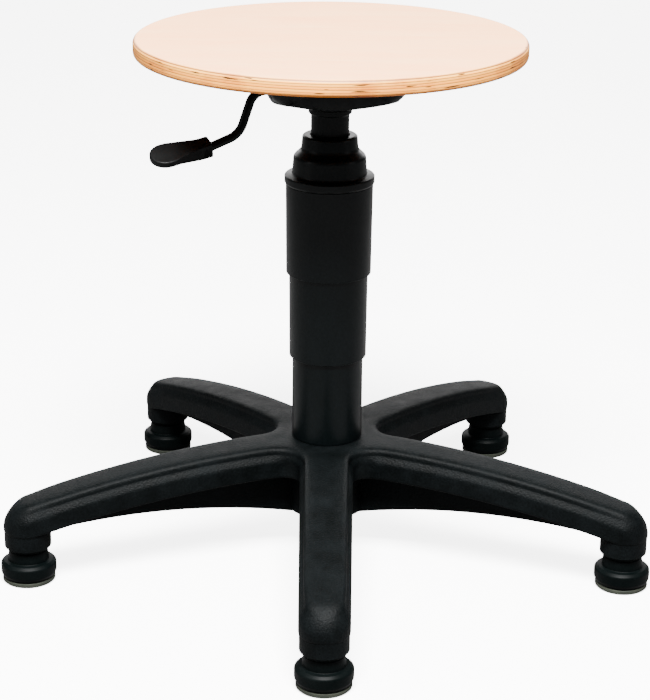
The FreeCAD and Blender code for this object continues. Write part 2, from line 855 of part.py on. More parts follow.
def star_prism(width, corner_radius):
    """The base's plan: five straight arms with round ends and rounded inner corners."""
    half = width / 2
    straight = half / math.tan(half_corner) + corner_radius / math.tan(half_corner)
    inner = (half + corner_radius) / math.sin(half_corner) - corner_radius
    edges = []
    for angle in arm_angles:
        turn = FreeCAD.Rotation(up, angle)
        next_turn = FreeCAD.Rotation(up, angle + 360.0 / arm_count)
        bisector = FreeCAD.Rotation(up, angle + 180.0 / arm_count)
        right_start = turn.multVec(FreeCAD.Vector(straight, -half, 0))
        right_end = turn.multVec(FreeCAD.Vector(foot_circle_radius, -half, 0))
        tip = turn.multVec(FreeCAD.Vector(foot_circle_radius + half, 0, 0))
        left_end = turn.multVec(FreeCAD.Vector(foot_circle_radius, half, 0))
        left_start = turn.multVec(FreeCAD.Vector(straight, half, 0))
        corner = bisector.multVec(FreeCAD.Vector(inner, 0, 0))
        following = next_turn.multVec(FreeCAD.Vector(straight, -half, 0))
        edges.append(Part.LineSegment(right_start, right_end).toShape())
        edges.append(Part.Arc(right_end, tip, left_end).toShape())
        edges.append(Part.LineSegment(left_end, left_start).toShape())
        edges.append(Part.Arc(left_start, corner, following).toShape())
    prism = Part.Face(Part.Wire(edges)).extrude(FreeCAD.Vector(0, 0, hub_top_height + 20))
    return prism


def lean_of(face):
    """How far a face looks up: 1 for a floor's top, 0 for a wall."""
    first_u, last_u, first_v, last_v = face.ParameterRange
    return face.normalAt((first_u + last_u) / 2, (first_v + last_v) / 2).z


def band(width, corner_radius, top_drop, bottom_drop, top_round):
    """One layer of the arms between two drops below the crown, with its upper rim rounded."""
    body = star_prism(width, corner_radius).common(under_crown(width + 2, top_drop, True))
    body = body.cut(under_crown(width + 2, bottom_drop, False)).removeSplitter()
    if top_round == 0:
        return body
    walls = [face for face in body.Faces if abs(lean_of(face)) < 0.01]
    wall_edges = {edge.hashCode() for face in walls for edge in face.Edges}
    tops = [face for face in body.Faces if lean_of(face) > 0.2]
    rim = [edge for face in tops for edge in face.Edges if edge.hashCode() in wall_edges]
    return body.makeFillet(top_round, rim)


def inside_arm(near, far, width, drop):
    """The part of an arm from near to far, up to a drop below its crown."""
    box = Part.makeBox(far - near, width, hub_top_height, FreeCAD.Vector(near, -width / 2, 0))
    return box.common(under_arm(width, drop, False))


def arm_channel():
    """The hollow under one arm: a wide lower part and a narrower part under the crown."""
    near = hub_diameter / 2 - arm_wall
    far = foot_circle_radius - flange_width / 2 - 1
    wide = inside_arm(near, far, flange_width - 2 * arm_wall, recess_depth + arm_wall)
    narrow = inside_arm(near, far, crown_width - 2 * recess_inset - 2 * arm_wall, arm_roof)
    return wide.fuse(narrow)


def arm_web():
    """The deep plate along the middle of the channel, with an arched lower edge."""
    start, middle, end = (FreeCAD.Vector(reach, -web_thickness, height) for reach, height in web_bottom_points)
    start_foot = FreeCAD.Vector(start.x, start.y, 0)
    end_foot = FreeCAD.Vector(end.x, end.y, 0)
    edges = [Part.Arc(start, middle, end).toShape()]
    for first, last in ((end, end_foot), (end_foot, start_foot), (start_foot, start)):
        edges.append(Part.LineSegment(first, last).toShape())
    below = Part.Face(Part.Wire(edges)).extrude(FreeCAD.Vector(0, 2 * web_thickness, 0))
    web = inside_arm(hub_diameter / 2 - arm_wall, end.x, web_thickness, crown_round).cut(below)
    hub_side = Part.makeBox(start.x, 2 * web_thickness, hub_bottom_height, FreeCAD.Vector(0, -web_thickness, 0))
    return web.cut(hub_side)


def arm_cross_ribs():
    """Low plates across the channel, evenly spaced."""
    near = hub_diameter / 2
    far = foot_circle_radius - flange_width / 2
    pitch = (far - near) / (cross_rib_count + 1)
    width = flange_width - arm_wall
    ribs = []
    for index in range(cross_rib_count):
        place = near + pitch * (index + 1)
        floor = arm_top(place) - flange_depth + cross_rib_rise
        below = Part.makeBox(cross_rib_thickness, width, floor, FreeCAD.Vector(place, -width / 2, 0))
        rib = inside_arm(place, place + cross_rib_thickness, width, recess_depth + arm_wall / 2)
        ribs.append(rib.cut(below))
    return ribs


def foot_socket():
    """The round socket at the arm's end, before its bore is made."""
    radius = flange_width / 2 - socket_step
    post = turned([
        (0, socket_bottom_height, 0),
        (socket_bottom_diameter / 2, socket_bottom_height, 0.6),
        (radius, socket_chamfer_height, 0),
        (radius, socket_shoulder_height, socket_top_round),
        (0, socket_shoulder_height, 0),
    ])
    post.translate(FreeCAD.Vector(foot_circle_radius, 0, 0))
    return post


def socket_bore():
    radius = stem_diameter / 2 + 2 * running_gap
    height = stem_top_height + 1 - socket_bottom_height + 1
    return Part.makeCylinder(radius, height, FreeCAD.Vector(foot_circle_radius, 0, socket_bottom_height - 1))


def star_base():
    crown = band(crown_width, crown_corner_radius, 0, crown_depth, crown_round)
    recess = band(crown_width - 2 * recess_inset, crown_corner_radius, crown_round, recess_depth + 5, 0)
    flange = band(flange_width, flange_corner_radius, recess_depth, flange_depth, flange_top_round)
    body = fused([crown, recess, flange])
    for channel in round_about(arm_channel()):
        body = body.cut(channel)
    hub = tube(hub_diameter, 0, hub_bottom_height, hub_top_height - crown_round)
    parts = [body, hub] + round_about(arm_web()) + round_about(foot_socket())
    for rib in arm_cross_ribs():
        parts += round_about(rib)
    body = fused(parts)
    for bore in round_about(socket_bore()):
        body = body.cut(bore)
    bore = turned([(0, tube_bottom_height, 0)] + tube_space(press_gap) + [(0, tube_top_height, 0)])
    return body.cut(bore).removeSplitter()


# Glides

def at_foot(shape, index):
    copy = shape.copy()
    copy.translate(FreeCAD.Vector(foot_circle_radius, 0, 0))
    return about_axis(copy, arm_angles[index])


def glide_body():
    low, high = glide_waist_heights
    neck_top, neck_low = (diameter / 2 for diameter in glide_neck_diameters)
    widest = glide_diameter / 2
    top = socket_bottom_height - seating_gap
    body = turned([
        (0, glide_bottom_height, 0),
        (glide_groove_diameter / 2, glide_bottom_height, 0.4),
        (widest, high, 3.5),
        (widest, low, 3.0),
        (glide_shoulder_diameter / 2, glide_shoulder_height, 2.0),
        (neck_low, glide_neck_height - 2.5, 1.0),
        (neck_low, glide_neck_height, 0),
        (neck_top, top - 1.2, 0),
        (neck_top - 1.2, top, 0),
        (0, top, 0),
    ])
    hole = stem_diameter + 2 * press_gap
    return body.cut(tube(hole, 0, stem_seat_height, top + 1))


def glide_pad():
    radius = pad_diameter / 2
    return turned([
        (0, 0, 0),
        (radius - pad_chamfer, 0, 0.4),
        (radius, pad_chamfer, 0.4),
        (radius, pad_height, 0.5),
        (0, pad_height, 0),
    ])


def glide_stem():
    radius = stem_diameter / 2
    low = grip_ring_bottom - seating_gap
    high = grip_ring_bottom + grip_ring_height + seating_gap
    return turned([
        (0, stem_seat_height + press_gap, 0),
        (radius, stem_seat_height + press_gap, 0.6),
        (radius, low, 0),
        (radius - stem_groove_depth, low, 0),
        (radius - stem_groove_depth, high, 0),
        (radius, high, 0),
        (radius, stem_top_height, 1.2),
        (0, stem_top_height, 0),
    ])


def grip_ring():
    outer = stem_diameter + 4 * running_gap - 2 * press_gap
    inner = stem_diameter - 2 * stem_groove_depth + 2 * running_gap
    ring = tube(outer, inner, grip_ring_bottom, grip_ring_bottom + grip_ring_height)
    slot = Part.makeBox(stem_diameter, 1.4, grip_ring_height + 2, FreeCAD.Vector(0, -0.7, grip_ring_bottom - 1))
    return ring.cut(slot)


def main():
    os.makedirs("parts", exist_ok=True)
    save("seat_disc", seat_disc())
    save("seat_screws", seat_screws())
    save("seat_plate", seat_plate())
    save("taper_socket", taper_socket())
    save("lever_bracket", lever_bracket())
    save("lever_pin", lever_pin())
    save("lever_rod", lever_rod())
    save("lever_grip", lever_grip())
    save("gas_cylinder", gas_cylinder())
    save("valve_body", valve_body())
    save("valve_button", valve_button())
    save("rod_guide", rod_guide())
    save("piston", piston())
    save("piston_seal", piston_seal())
    save("piston_rod", piston_rod())
    save("rod_clip", rod_clip())
    save("rod_washer", rod_washer())
    save("bearing_lower_race", lower_race())
    save("bearing_upper_race", upper_race())
    save("bearing_cage", bearing_cage())
    save("bearing_balls", bearing_balls())
    save("rubber_buffer", rubber_buffer())
    save("stand_tube", stand_tube())
    save("guide_bush", guide_bush())
    save("sleeve_upper", sleeve_upper())
    save("sleeve_middle", sleeve_middle())
    save("sleeve_lower", sleeve_lower())
    save("sleeve_cap", sleeve_cap())
    save("cover_ring", cover_ring())
    save("star_base", star_base())
    for index, name in enumerate(glide_names):
        save("glide_body_" + name, at_foot(glide_body(), index))
        save("glide_pad_" + name, at_foot(glide_pad(), index))
        save("glide_stem_" + name, at_foot(glide_stem(), index))
        save("grip_ring_" + name, at_foot(grip_ring(), index))


main()
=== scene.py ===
import bmesh
import bpy
import math
from mathutils import Matrix, Vector


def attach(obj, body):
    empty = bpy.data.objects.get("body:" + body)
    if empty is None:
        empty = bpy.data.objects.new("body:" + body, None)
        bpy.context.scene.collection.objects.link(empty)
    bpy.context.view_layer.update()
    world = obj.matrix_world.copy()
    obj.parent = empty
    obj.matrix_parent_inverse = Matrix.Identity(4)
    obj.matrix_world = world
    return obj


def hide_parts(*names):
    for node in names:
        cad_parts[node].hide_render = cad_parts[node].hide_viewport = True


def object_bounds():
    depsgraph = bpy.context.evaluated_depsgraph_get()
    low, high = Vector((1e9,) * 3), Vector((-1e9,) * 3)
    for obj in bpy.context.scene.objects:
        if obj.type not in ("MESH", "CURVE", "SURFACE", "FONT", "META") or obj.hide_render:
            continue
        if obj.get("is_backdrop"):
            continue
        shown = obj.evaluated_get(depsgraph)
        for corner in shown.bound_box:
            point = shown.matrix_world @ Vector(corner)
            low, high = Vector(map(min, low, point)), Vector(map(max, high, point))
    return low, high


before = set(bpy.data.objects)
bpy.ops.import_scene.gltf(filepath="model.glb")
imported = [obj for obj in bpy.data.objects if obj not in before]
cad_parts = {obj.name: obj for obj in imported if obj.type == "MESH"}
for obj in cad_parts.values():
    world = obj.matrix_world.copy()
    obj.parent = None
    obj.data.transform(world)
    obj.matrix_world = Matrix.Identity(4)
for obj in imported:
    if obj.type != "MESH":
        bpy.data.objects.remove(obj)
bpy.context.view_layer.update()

# Foot glides. Each is a round nylon foot, moulded black, with a wide collar that the stool slides
# on and a thin, softer pad let into its underside. A turned steel stem, pushed into the arm's
# socket, holds it, and a split wire ring keeps it from falling out while it turns.

glide_names = ("front", "right", "back_right", "back_left", "left")
arm_angles = [math.radians(-90 + 72 * arm) for arm in range(len(glide_names))]
foot_circle = 286.6


def linear(hex_colour):
    """An sRGB hex colour as the linear colour that a shader takes."""
    levels = [int(hex_colour[place:place + 2], 16) / 255 for place in (1, 3, 5)]
    levels = [level / 12.92 if level <= 0.04045 else ((level + 0.055) / 1.055) ** 2.4 for level in levels]
    return (*levels, 1.0)


def add_node(finish, kind, values=None, **settings):
    """Adds a node. Each value is a number or colour for a socket, or another node's output."""
    node = finish.node_tree.nodes.new(kind)
    for name, setting in settings.items():
        setattr(node, name, setting)
    for socket, value in (values or {}).items():
        if isinstance(value, bpy.types.NodeSocket):
            finish.node_tree.links.new(value, node.inputs[socket])
        else:
            node.inputs[socket].default_value = value
    return node


def new_finish(name):
    """A new material with an empty node tree."""
    finish = bpy.data.materials.new(name)
    finish.use_nodes = True
    finish.node_tree.nodes.clear()
    return finish


def moulded_skin(name, dark, light, roughness, grain_mm, grain_height, gloss, cloud_mm=22.0):
    """Moulded plastic, rubber or powder coat: a grain in its skin, and cloudy changes of shade and sheen."""
    finish = new_finish(name)
    place = add_node(finish, "ShaderNodeTexCoord")
    clouds = add_node(finish, "ShaderNodeTexNoise", {
        "Vector": place.outputs["Object"], "Scale": 1000 / cloud_mm, "Detail": 3.0,
        "Roughness": 0.6,
    })
    grain = add_node(finish, "ShaderNodeTexNoise", {
        "Vector": place.outputs["Object"], "Scale": 1000 / grain_mm, "Detail": 2.0,
        "Roughness": 0.7,
    })
    mixed = add_node(finish, "ShaderNodeMath", {
        0: clouds.outputs["Fac"], 1: grain.outputs["Fac"],
    }, operation="MULTIPLY")
    shade = add_node(finish, "ShaderNodeValToRGB", {"Fac": mixed.outputs["Value"]})
    shade.color_ramp.elements[0].position = 0.12
    shade.color_ramp.elements[0].color = linear(dark)
    shade.color_ramp.elements[1].position = 0.42
    shade.color_ramp.elements[1].color = linear(light)
    sheen = add_node(finish, "ShaderNodeMapRange", {
        "Value": clouds.outputs["Fac"], "From Min": 0.3, "From Max": 0.7,
        "To Min": roughness - 0.05, "To Max": roughness + 0.06,
    })
    bump = add_node(finish, "ShaderNodeBump", {
        "Height": grain.outputs["Fac"], "Strength": grain_height, "Distance": grain_mm / 1000 * 0.4,
    })
    skin = add_node(finish, "ShaderNodeBsdfPrincipled", {
        "Base Color": shade.outputs["Color"],
        "Roughness": sheen.outputs["Result"],
        "Specular IOR Level": gloss,
        "IOR": 1.5,
        "Normal": bump.outputs["Normal"],
    })
    add_node(finish, "ShaderNodeOutputMaterial", {"Surface": skin.outputs["BSDF"]})
    return finish


def finish_piece(bm, name, finish, body, crisp=32.0):
    """Turns a bmesh into an object of its own, smooth but for its crisp edges, and lets it ride a body."""
    mesh = bpy.data.meshes.new(name)
    bm.to_mesh(mesh)
    bm.free()
    mesh.shade_smooth()
    mesh.set_sharp_from_angle(angle=math.radians(crisp))
    mesh.materials.append(finish)
    piece = bpy.data.objects.new(name, mesh)
    bpy.context.scene.collection.objects.link(piece)
    even = piece.modifiers.new("even_shading", "WEIGHTED_NORMAL")
    even.keep_sharp = True
    even.weight = 60
    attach(piece, body)
    return piece


def turn_profile(corners, steps):
    """A turned form, from the corners round its section: radius, height and rounding in millimetres."""
    bm = bmesh.new()
    corner_verts = [bm.verts.new((radius / 1000, 0, height / 1000)) for radius, height, rounding in corners]
    section = bm.faces.new(corner_verts)
    for index, (radius, height, rounding) in enumerate(corners):
        if rounding == 0:
            continue
        here = Vector((radius, height))
        back = Vector(corners[index - 1][:2]) - here
        ahead = Vector(corners[(index + 1) % len(corners)][:2]) - here
        reach = rounding / math.tan(back.angle(ahead) / 2)
        bmesh.ops.bevel(bm, geom=[corner_verts[index]], offset=reach / 1000, offset_type="OFFSET", segments=5,
                        profile=0.5, affect="VERTICES", material=-1, clamp_overlap=True)
    bmesh.ops.delete(bm, geom=bm.faces[:], context="FACES_ONLY")
    on_axis = [edge for edge in bm.edges if max(vert.co.x for vert in edge.verts) < 1e-6]
    bmesh.ops.delete(bm, geom=on_axis, context="EDGES")
    bmesh.ops.spin(bm, geom=bm.verts[:] + bm.edges[:], cent=(0, 0, 0), axis=(0, 0, 1), angle=2 * math.pi,
                   steps=steps, use_merge=True)
    bmesh.ops.remove_doubles(bm, verts=bm.verts, dist=1e-6)
    bmesh.ops.recalc_face_normals(bm, faces=bm.faces)
    return bm


def dress(node, finish):
    """Gives a node of the fixed frame its finish."""
    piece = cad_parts[node]
    piece.data.materials.clear()
    piece.data.materials.append(finish)


# Nylon, injection moulded and polished on its collar: black with a low, slightly oily gloss.
glide_nylon = moulded_skin("nylon_moulded_semi_gloss", "#010303", "#050808", 0.45, 1.4, 0.05, gloss=0.04)
# A thermoplastic elastomer: matt, and a greener grey than the nylon. Its grey is painted paler than the
# rubber is, as painted light that stands in for the light the pale floor throws up onto the pad.
pad_elastomer_painted_paler = moulded_skin("elastomer_moulded_matt_painted_paler", "#1c1f1a", "#32352c", 0.7, 0.9, 0.15, gloss=0.2)
# Spring wire and stem in plated steel, only seen when a glide is pulled out.
stem_steel = new_finish("steel_turned_bright")
stem_place = add_node(stem_steel, "ShaderNodeTexCoord")
stem_lines = add_node(stem_steel, "ShaderNodeTexWave", {
    "Vector": stem_place.outputs["Object"], "Scale": 320.0, "Distortion": 1.5, "Detail": 2.0,
}, bands_direction="Z")
stem_sheen = add_node(stem_steel, "ShaderNodeMapRange", {
    "Value": stem_lines.outputs["Fac"], "To Min": 0.22, "To Max": 0.34,
})
stem_bump = add_node(stem_steel, "ShaderNodeBump", {
    "Height": stem_lines.outputs["Fac"], "Strength": 0.15, "Distance": 0.0001,
})
stem_skin = add_node(stem_steel, "ShaderNodeBsdfPrincipled", {
    "Base Color": linear("#b9babb"),
    "Metallic": 1.0,
    "Roughness": stem_sheen.outputs["Result"],
    "Normal": stem_bump.outputs["Normal"],
})
add_node(stem_steel, "ShaderNodeOutputMaterial", {"Surface": stem_skin.outputs["BSDF"]})

glide_section = (
    (0, 4.6, 0),
    (23.0, 4.6, 0.5),
    (25.29, 9.0, 3.5),
    (25.29, 17.6, 2.6),
    (22.2, 20.0, 2.0),
    (18.5, 20.6, 0.6),
    (18.5, 24.0, 0),
    (17.65, 29.8, 0.3),
    (16.45, 31.0, 0.3),
    (5.52, 31.0, 0),
    (5.52, 12.0, 0),
    (0, 12.0, 0),
)
pad_section = (
    (0, 0, 0),
    (22.8, 0, 0.4),
    (24.0, 1.2, 0.4),
    (24.0, 4.3, 0.5),
    (0, 4.3, 0),
)
for glide, angle in zip(glide_names, arm_angles):
    turn = Matrix.Rotation(angle, 4, "Z") @ Matrix.Translation((foot_circle / 1000, 0, 0))
    for part, section, finish, slot in (
        ("body", glide_section, glide_nylon, "glide_plastic"),
        ("pad", pad_section, pad_elastomer_painted_paler, "pad_plastic"),
    ):
        bm = turn_profile(section, steps=80)
        bmesh.ops.transform(bm, matrix=turn, verts=bm.verts)
        piece = finish_piece(bm, "glide_" + glide + "_" + part, finish, "glide_" + glide)
        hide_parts("glide_" + part + "_" + glide)
    dress("glide_stem_" + glide, stem_steel)
    dress("grip_ring_" + glide, stem_steel)

# Five-star base. One moulding in glass-filled nylon with a spark-eroded grain: a rounded crown
# along each arm, a crease, a wider skirt under it with a thin rolled lip, and a hollow below with
# a deep web and low cross ribs. The arms run together in a hub round the column.

arm_half_angle = math.radians(36)
hub_top = 110.6
hub_radius = 36.0
bore_radius = 25.05
# Along an arm the crown bends down over a short knee, and falls on a long arc from there.
arm_start = 60.43
knee_radius, knee_length, drop_radius = 200.0, 9.6, 1075.0
# Each side of an arm stands out by this much more for each millimetre that it is nearer to the hub.
arm_taper = 0.011
# Over the foot the section turns into a dome with a small flat top. The arm's sides take on only a
# part of the dome's roundness, and the arm's end takes on all of it.
dome_start, dome_run = 254, 32
dome_radius, dome_flat, dome_levels = 20.0, 1.8, 14
dome_side_share = 0.3

knee_lean = math.asin(knee_length / knee_radius)
drop_centre_x = arm_start + (knee_radius - drop_radius) * math.sin(knee_lean)
drop_centre_z = hub_top - knee_radius + (knee_radius - drop_radius) * math.cos(knee_lean)


def crown_height(reach):
    """The crown's height in millimetres at a reach along an arm."""
    if reach <= arm_start:
        return hub_top
    if reach <= arm_start + knee_length:
        return hub_top - knee_radius + math.sqrt(knee_radius ** 2 - (reach - arm_start) ** 2)
    return drop_centre_z + math.sqrt(drop_radius ** 2 - (reach - drop_centre_x) ** 2)


def arm_place(point):
    """Where a point in plan lies in its own arm's frame: reach, side and the arm's angle."""
    places = []
    for angle in arm_angles:
        reach = (point.x * math.cos(angle) + point.y * math.sin(angle)) * 1000
        side = (-point.x * math.sin(angle) + point.y * math.cos(angle)) * 1000
        places.append((reach, side, angle))
    return max(places)


def star_outline(bm, half_width, corner_radius, level):
    """The base's outline in plan as a loop of edges, five arms with round ends and rounded inner corners."""
    tip = foot_circle + half_width
    root = (half_width + arm_taper * tip) / (math.tan(arm_half_angle) + arm_taper)
    root_reach = corner_radius / math.tan(arm_half_angle + math.atan(arm_taper))
    verts = []
    for angle in arm_angles:
        turn = Matrix.Rotation(angle, 4, "Z")
        verts.append(bm.verts.new(turn @ Vector((tip, -half_width, 0)) / 1000))
        verts.append(bm.verts.new(turn @ Vector((tip, half_width, 0)) / 1000))
        verts.append(bm.verts.new(turn @ Vector((root, root * math.tan(arm_half_angle), 0)) / 1000))
    bm.faces.new(verts)
    tips = [vert for index, vert in enumerate(verts) if index % 3 != 2]
    corners = [vert for index, vert in enumerate(verts) if index % 3 == 2]
    # The tips' bevels stop just short of each other, and together make a round end.
    bmesh.ops.bevel(bm, geom=tips, offset=half_width * 0.9995 / 1000, offset_type="OFFSET", segments=9,
                    profile=0.5, affect="VERTICES", material=-1, clamp_overlap=False)
    bmesh.ops.bevel(bm, geom=corners, offset=root_reach / 1000, offset_type="OFFSET", segments=14,
                    profile=0.5, affect="VERTICES", material=-1, clamp_overlap=False)
    outline = [edge for edge in bm.edges if abs(edge.verts[0].co.z) < 1e-9 and abs(edge.verts[1].co.z) < 1e-9]
    sides = [edge for edge in outline if edge.calc_length() > 0.15]
    bmesh.ops.subdivide_edges(bm, edges=sides, cuts=27, use_grid_fill=False)
    outline = [edge for edge in bm.edges if abs(edge.verts[0].co.z) < 1e-9 and abs(edge.verts[1].co.z) < 1e-9]
    flat_faces = [face for face in bm.faces if abs(face.calc_center_median().z) < 1e-9]
    bmesh.ops.delete(bm, geom=flat_faces, context="FACES_ONLY")
    for edge in outline:
        for vert in edge.verts:
            vert.co.z = level
    return outline


# The levels of the arm's section from the crown's middle outwards, down, and back in under the lip:
# half width, radius of the inner corners in plan, and drop below the crown. While the loops are
# joined, each one waits at a height of its own, which tells its order.
section_levels = (
    (5.0, 38.9, 0.0),
    (9.0, 34.9, 0.15),
    (12.5, 31.4, 0.45),
    (14.8, 29.1, 1.0),
    (16.4, 27.5, 2.0),
    (17.3, 26.6, 3.4),
    (17.6, 26.3, 5.0),
    (17.65, 26.2, 6.4),
    (17.9, 25.9, 7.2),
    (18.7, 24.6, 8.4),
    (19.9, 22.2, 10.2),
    (21.0, 19.4, 12.0),
    (21.6, 17.4, 13.4),
    (21.8, 16.4, 15.0),
    (21.8, 15.8, 18.0),
    (21.8, 15.5, 26.8),
    (21.6, 15.7, 28.4),
    (21.0, 16.3, 29.2),
    (20.2, 17.1, 29.5),
    (18.6, 18.7, 29.5),
    (17.9, 19.4, 28.8),
    (17.8, 19.5, 17.0),
)
bm = bmesh.new()
loops = []
for order, (half_width, corner_radius, drop) in enumerate(section_levels):
    loops.append(star_outline(bm, half_width, corner_radius, -(order + 1) / 10))
for upper, lower in zip(loops, loops[1:]):
    bmesh.ops.bridge_loops(bm, edges=upper + lower)
bores = []
for level in (-0.1, -len(section_levels) / 10):
    ring = bmesh.ops.create_circle(bm, cap_ends=False, radius=bore_radius / 1000, segments=60)["verts"]
    bmesh.ops.translate(bm, vec=(0, 0, level), verts=ring)
    bores.append(list(dict.fromkeys(edge for vert in ring for edge in vert.link_edges)))
bmesh.ops.triangle_fill(bm, use_beauty=True, edges=loops[0] + bores[0], normal=(0, 0, 1))
bmesh.ops.triangle_fill(bm, use_beauty=True, edges=loops[-1] + bores[1], normal=(0, 0, 1))
bmesh.ops.bridge_loops(bm, edges=bores[0] + bores[1])
# Now each level goes down to its height. Over the foot it turns into the dome, and the lip goes
# level round the socket.
for vert in bm.verts:
    order = round(-vert.co.z * 10) - 1
    half_width, corner_radius, drop = section_levels[order]
    reach, side, angle = arm_place(vert.co)
    blend = min(max((reach - dome_start) / dome_run, 0), 1)
    blend = blend * blend * (3 - 2 * blend)
    blend *= dome_side_share + (1 - dome_side_share) * max(reach - foot_circle, 0) / half_width
    if order <= dome_levels and blend > 0:
        swing = math.pi / 2 * order / dome_levels
        scale = 1 + blend * ((dome_flat + dome_radius * math.sin(swing)) / half_width - 1)
        drop += blend * (dome_radius * (1 - math.cos(swing)) - drop)
        side *= scale
        reach += (scale - 1) * max(reach - foot_circle, 0)
        vert.co = Matrix.Rotation(angle, 4, "Z") @ Vector((reach, side, 0)) / 1000
    if order > dome_levels:
        reach = min(reach, foot_circle)
    vert.co.z = (crown_height(reach) - drop) / 1000
bmesh.ops.recalc_face_normals(bm, faces=bm.faces)

# Glass-filled nylon with an eroded grain, drawn about twice too coarse, so that it shows. Its skin
# is rough and nearly matt, and light that rakes it turns it from black to charcoal.
base_nylon = moulded_skin("nylon_glass_filled_grained", "#010202", "#070a0b", 0.52, 1.7, 0.8, gloss=0.05)
arms = finish_piece(bm, "star_base_arms", base_nylon, "base", crisp=40.0)
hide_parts("star_base")

# The hub. It stands inside the arms' roots, moulded in one with them, and its tapered bore grips
# the stand tube.
hub = finish_piece(turn_profile((
    (23.7, 38.0, 0.6),
    (hub_radius, 38.0, 1.5),
    (hub_radius, 100.0, 0),
    (25.1, 100.0, 0),
    (bore_radius, 96.0, 0),
), steps=96), "star_base_hub", base_nylon, "base")

# The webs. Deep plates along the arms' middles, moulded in one with them. Their arched lower edges
# show under the arms at the sides.
bm = bmesh.new()
web_start, web_end = 32.0, 265.0
web_thickness, web_top_drop = 7.0, 12.0


def web_bottom(reach):
    """The web's arched lower edge, through (41, 38.4), (165, 52.6) and (265, 46.7)."""
    return 38.4 + (reach - 41) * (0.114516 - (reach - 165) * 0.000775)


for angle in arm_angles:
    plate = bmesh.ops.create_cube(bm, size=1.0)["verts"]
    bmesh.ops.scale(bm, vec=((web_end - web_start) / 1000, web_thickness / 1000, 0.01), verts=plate)
    bmesh.ops.translate(bm, vec=((web_start + web_end) / 2000, 0, 0), verts=plate)
    plate_edges = dict.fromkeys(edge for vert in plate for edge in vert.link_edges)
    long_edges = [edge for edge in plate_edges if edge.calc_length() > 0.2]
    bmesh.ops.subdivide_edges(bm, edges=long_edges, cuts=30, use_grid_fill=True)
    plate = [vert for vert in bm.verts if not vert.tag]
    for vert in plate:
        reach = vert.co.x * 1000
        vert.co.z = (crown_height(reach) - web_top_drop if vert.co.z > 0 else web_bottom(reach)) / 1000
        vert.tag = True
    bmesh.ops.rotate(bm, cent=(0, 0, 0), matrix=Matrix.Rotation(angle, 3, "Z"), verts=plate)
bmesh.ops.recalc_face_normals(bm, faces=bm.faces)
webs = finish_piece(bm, "star_base_webs", base_nylon, "base")

# The ribs. Low plates across the hollow, moulded in one with the arm, that keep its sides from
# bending. They show only from below.
bm = bmesh.new()
rib_spacing, rib_thickness, rib_width = 45.76, 2.5, 37.6
rib_top_drop, rib_bottom_drop = 15.0, 24.5
for angle in arm_angles:
    for order in range(4):
        place = hub_radius + rib_spacing * (order + 1)
        low = crown_height(place) - rib_bottom_drop
        high = crown_height(place) - rib_top_drop
        rib = bmesh.ops.create_cube(bm, size=1.0)["verts"]
        bmesh.ops.scale(bm, vec=(rib_thickness / 1000, rib_width / 1000, (high - low) / 1000), verts=rib)
        bmesh.ops.translate(bm, vec=((place + rib_thickness / 2) / 1000, 0, (high + low) / 2000), verts=rib)
        bmesh.ops.rotate(bm, cent=(0, 0, 0), matrix=Matrix.Rotation(angle, 3, "Z"), verts=rib)
ribs = finish_piece(bm, "star_base_ribs", base_nylon, "base")

# The foot sockets. A round boss at each arm's end, moulded in one with it and bored for the glide's
# stem. Its lower end shows under the lip.
for glide, angle in zip(glide_names, arm_angles):
    bm = turn_profile((
        (5.62, 31.3, 0),
        (18.5, 31.3, 0.6),
        (21.3, 34.4, 0.6),
        (21.3, 52.0, 4.0),
        (5.62, 52.0, 0),
    ), steps=80)
    turn = Matrix.Rotation(angle, 4, "Z") @ Matrix.Translation((foot_circle / 1000, 0, 0))
    bmesh.ops.transform(bm, matrix=turn, verts=bm.verts)
    socket = finish_piece(bm, "star_base_socket_" + glide, base_nylon, "base")

# Stand tube, bearing and the lower end of the rod, all hidden inside the sleeves: steel tube in
# black coating, an acetal guide bush, hardened races and balls, a rubber buffer.


def metal(name, colour, roughness, line_mm):
    """Bare metal with fine turning or rolling lines that change its sheen."""
    finish = new_finish(name)
    place = add_node(finish, "ShaderNodeTexCoord")
    lines = add_node(finish, "ShaderNodeTexNoise", {
        "Vector": place.outputs["Object"], "Scale": 1000 / line_mm, "Detail": 3.0,
    })
    sheen = add_node(finish, "ShaderNodeMapRange", {
        "Value": lines.outputs["Fac"], "To Min": roughness - 0.06, "To Max": roughness + 0.08,
    })
    bump = add_node(finish, "ShaderNodeBump", {
        "Height": lines.outputs["Fac"], "Strength": 0.1, "Distance": 0.0001,
    })
    skin = add_node(finish, "ShaderNodeBsdfPrincipled", {
        "Base Color": linear(colour),
        "Metallic": 1.0,
        "Roughness": sheen.outputs["Result"],
        "Normal": bump.outputs["Normal"],
    })
    add_node(finish, "ShaderNodeOutputMaterial", {"Surface": skin.outputs["BSDF"]})
    return finish


# Powder coating on steel: satin black with a slight orange peel.
coated_steel = moulded_skin("steel_powder_coated_satin", "#010202", "#040606", 0.4, 2.2, 0.12, gloss=0.1)
bearing_steel = metal("steel_hardened_ground", "#a9abad", 0.2, 0.8)
zinc_steel = metal("steel_zinc_plated", "#b7b9b4", 0.34, 1.5)
spring_wire = metal("steel_spring_blued", "#5a5c60", 0.3, 1.0)
cast_aluminium = metal("aluminium_turned", "#c2c4c6", 0.32, 0.7)
turned_brass = metal("brass_turned", "#c2a05a", 0.28, 0.7)
# Natural acetal, unpigmented: milky white, slightly waxy.
acetal = moulded_skin("acetal_moulded_natural", "#d6d3c8", "#e9e6dc", 0.42, 1.6, 0.05, gloss=0.5)
# Nitrile rubber: matt black, with a dusty bloom.
nitrile = moulded_skin("rubber_moulded_matt", "#131313", "#242424", 0.75, 0.8, 0.3, gloss=0.2)

